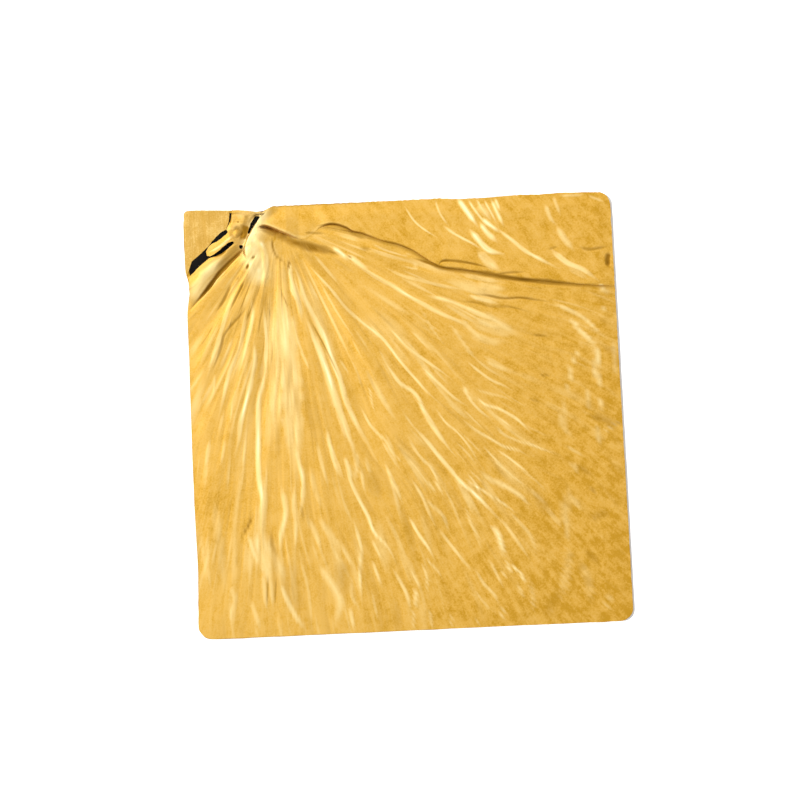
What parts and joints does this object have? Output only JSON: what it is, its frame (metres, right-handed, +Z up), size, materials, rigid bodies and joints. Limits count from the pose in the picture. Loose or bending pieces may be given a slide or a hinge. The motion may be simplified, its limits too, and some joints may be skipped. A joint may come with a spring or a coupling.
{
  "type": "gold leaf booklet",
  "caption": "Square block of gold leaves with black interleaves on a pale backing; the top leaf is gathered into pleats and torn at one corner.",
  "frame": {"origin": "middle of the backing sheet's underside", "axes": "+Z up out of the flat block, +Y towards the head of the sheets, where the gather and the torn corner are, +X towards the side where the backing shows"},
  "size_m": [0.0804, 0.0802, 0.0032],
  "materials": {
    "gold_leaf": "soft metallic gold, finely crinkled",
    "black_interleaf": "matt black coated paper",
    "pale_backing": "matt pale paper"
  },
  "bodies": {
    "backing_sheet": {"backing_sheet": "pale_backing"},
    "interleaf_01": {"interleaf_01": "black_interleaf"},
    "leaf_01": {"leaf_01": "gold_leaf"},
    "interleaf_02": {"interleaf_02": "black_interleaf"},
    "leaf_02": {"leaf_02": "gold_leaf"},
    "interleaf_03": {"interleaf_03": "black_interleaf"},
    "leaf_03": {"leaf_03": "gold_leaf"},
    "interleaf_04": {"interleaf_04": "black_interleaf"},
    "leaf_04": {"leaf_04": "gold_leaf"},
    "interleaf_05": {"interleaf_05": "black_interleaf"},
    "leaf_05": {"leaf_05": "gold_leaf"},
    "interleaf_06": {"interleaf_06": "black_interleaf"},
    "leaf_06": {"leaf_06": "gold_leaf"},
    "interleaf_07": {"interleaf_07": "black_interleaf"},
    "leaf_07": {"leaf_07": "gold_leaf"},
    "interleaf_08": {"interleaf_08": "black_interleaf"},
    "leaf_08": {"leaf_08": "gold_leaf"},
    "interleaf_09": {"interleaf_09": "black_interleaf"},
    "leaf_09": {"leaf_09": "gold_leaf"},
    "interleaf_10": {"interleaf_10": "black_interleaf"},
    "top_leaf": {"top_leaf": "gold_leaf"},
    "torn_corner": {"torn_corner": "gold_leaf"}
  },
  "joints": [
    {"name": "interleaf_01_lift", "type": "slide", "parent": "backing_sheet", "child": "interleaf_01", "axis": [0, 0, 1], "range_m": [0, 0.01]},
    {"name": "leaf_01_lift", "type": "slide", "parent": "interleaf_01", "child": "leaf_01", "axis": [0, 0, 1], "range_m": [0, 0.01]},
    {"name": "interleaf_02_lift", "type": "slide", "parent": "leaf_01", "child": "interleaf_02", "axis": [0, 0, 1], "range_m": [0, 0.01]},
    {"name": "leaf_02_lift", "type": "slide", "parent": "interleaf_02", "child": "leaf_02", "axis": [0, 0, 1], "range_m": [0, 0.01]},
    {"name": "interleaf_03_lift", "type": "slide", "parent": "leaf_02", "child": "interleaf_03", "axis": [0, 0, 1], "range_m": [0, 0.01]},
    {"name": "leaf_03_lift", "type": "slide", "parent": "interleaf_03", "child": "leaf_03", "axis": [0, 0, 1], "range_m": [0, 0.01]},
    {"name": "interleaf_04_lift", "type": "slide", "parent": "leaf_03", "child": "interleaf_04", "axis": [0, 0, 1], "range_m": [0, 0.01]},
    {"name": "leaf_04_lift", "type": "slide", "parent": "interleaf_04", "child": "leaf_04", "axis": [0, 0, 1], "range_m": [0, 0.01]},
    {"name": "interleaf_05_lift", "type": "slide", "parent": "leaf_04", "child": "interleaf_05", "axis": [0, 0, 1], "range_m": [0, 0.01]},
    {"name": "leaf_05_lift", "type": "slide", "parent": "interleaf_05", "child": "leaf_05", "axis": [0, 0, 1], "range_m": [0, 0.01]},
    {"name": "interleaf_06_lift", "type": "slide", "parent": "leaf_05", "child": "interleaf_06", "axis": [0, 0, 1], "range_m": [0, 0.01]},
    {"name": "leaf_06_lift", "type": "slide", "parent": "interleaf_06", "child": "leaf_06", "axis": [0, 0, 1], "range_m": [0, 0.01]},
    {"name": "interleaf_07_lift", "type": "slide", "parent": "leaf_06", "child": "interleaf_07", "axis": [0, 0, 1], "range_m": [0, 0.01]},
    {"name": "leaf_07_lift", "type": "slide", "parent": "interleaf_07", "child": "leaf_07", "axis": [0, 0, 1], "range_m": [0, 0.01]},
    {"name": "interleaf_08_lift", "type": "slide", "parent": "leaf_07", "child": "interleaf_08", "axis": [0, 0, 1], "range_m": [0, 0.01]},
    {"name": "leaf_08_lift", "type": "slide", "parent": "interleaf_08", "child": "leaf_08", "axis": [0, 0, 1], "range_m": [0, 0.01]},
    {"name": "interleaf_09_lift", "type": "slide", "parent": "leaf_08", "child": "interleaf_09", "axis": [0, 0, 1], "range_m": [0, 0.01]},
    {"name": "leaf_09_lift", "type": "slide", "parent": "interleaf_09", "child": "leaf_09", "axis": [0, 0, 1], "range_m": [0, 0.01]},
    {"name": "interleaf_10_lift", "type": "slide", "parent": "leaf_09", "child": "interleaf_10", "axis": [0, 0, 1], "range_m": [0, 0.01]},
    {"name": "top_leaf_lift", "type": "slide", "parent": "interleaf_10", "child": "top_leaf", "axis": [0, 0, 1], "range_m": [0, 0.01]},
    {"name": "torn_corner_lift", "type": "slide", "parent": "interleaf_10", "child": "torn_corner", "axis": [0, 0, 1], "range_m": [0, 0.01]}
  ]
}
